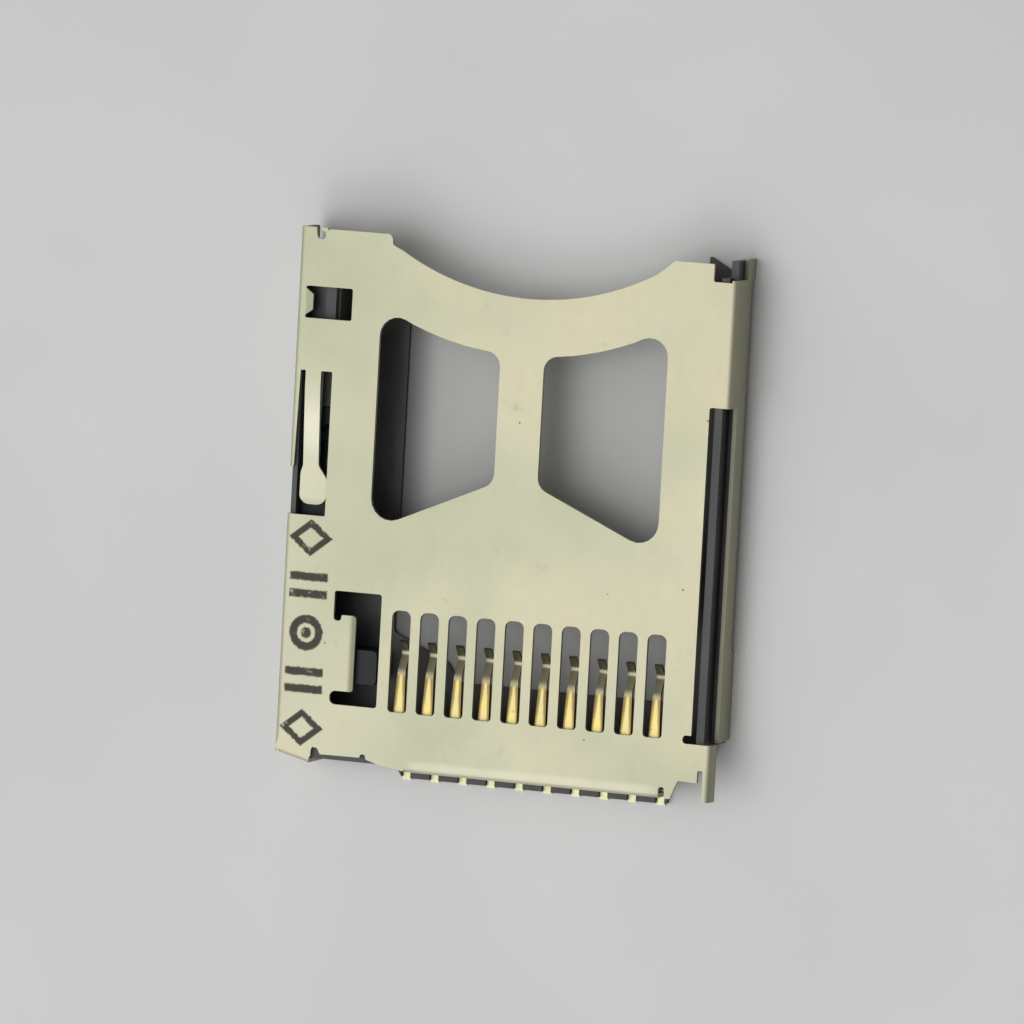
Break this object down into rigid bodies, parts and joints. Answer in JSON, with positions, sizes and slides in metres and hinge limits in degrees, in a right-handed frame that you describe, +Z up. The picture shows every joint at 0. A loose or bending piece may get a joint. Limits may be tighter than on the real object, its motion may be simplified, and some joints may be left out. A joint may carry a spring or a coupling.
{
  "type": "memory card connector",
  "caption": "Surface-mount push-push memory card connector: windowed stamped cover over a moulded frame, sprung slider with a heart cam and lock pin, and sprung contacts with solder tails.",
  "frame": {"origin": "centre of the connector's box, on the board plane", "axes": "+Z up from the board, +Y towards the card mouth, +X to the right seen from above with the mouth at the top"},
  "size_m": [0.023, 0.0274, 0.0027],
  "materials": {
    "cover": null,
    "moulding": "glass-filled black, fine matt",
    "slider": "black, slightly smoother",
    "spring_steel": "drawn wire",
    "contact_metal": "gold plated"
  },
  "bodies": {
    "frame": {"shell": "cover", "housing": "moulding", "coil_spring": "spring_steel", "contact_01": "contact_metal", "contact_02": "contact_metal", "contact_03": "contact_metal", "contact_04": "contact_metal", "contact_05": "contact_metal", "contact_06": "contact_metal", "contact_07": "contact_metal", "contact_08": "contact_metal", "contact_09": "contact_metal", "contact_10": "contact_metal"},
    "slider": {"slider": "slider"},
    "lock_pin": {"lock_pin": "spring_steel"}
  },
  "joints": [
    {"name": "slider_travel", "type": "slide", "parent": "frame", "child": "slider", "axis": [0, -1, 0], "range_m": [0, 0.0033], "stiffness_N_per_m": 100, "deforming": ["coil_spring"]},
    {"name": "lock_pin_swing", "type": "hinge", "parent": "frame", "child": "lock_pin", "pos_m": [-0.01033, 0.0085, 0], "axis": [0, 0, 1], "range_deg": [0, 3.2]}
  ],
  "couplings": [
    {"joint": "lock_pin_swing", "follows": "slider_travel", "rad_per_m": 16.844}
  ]
}
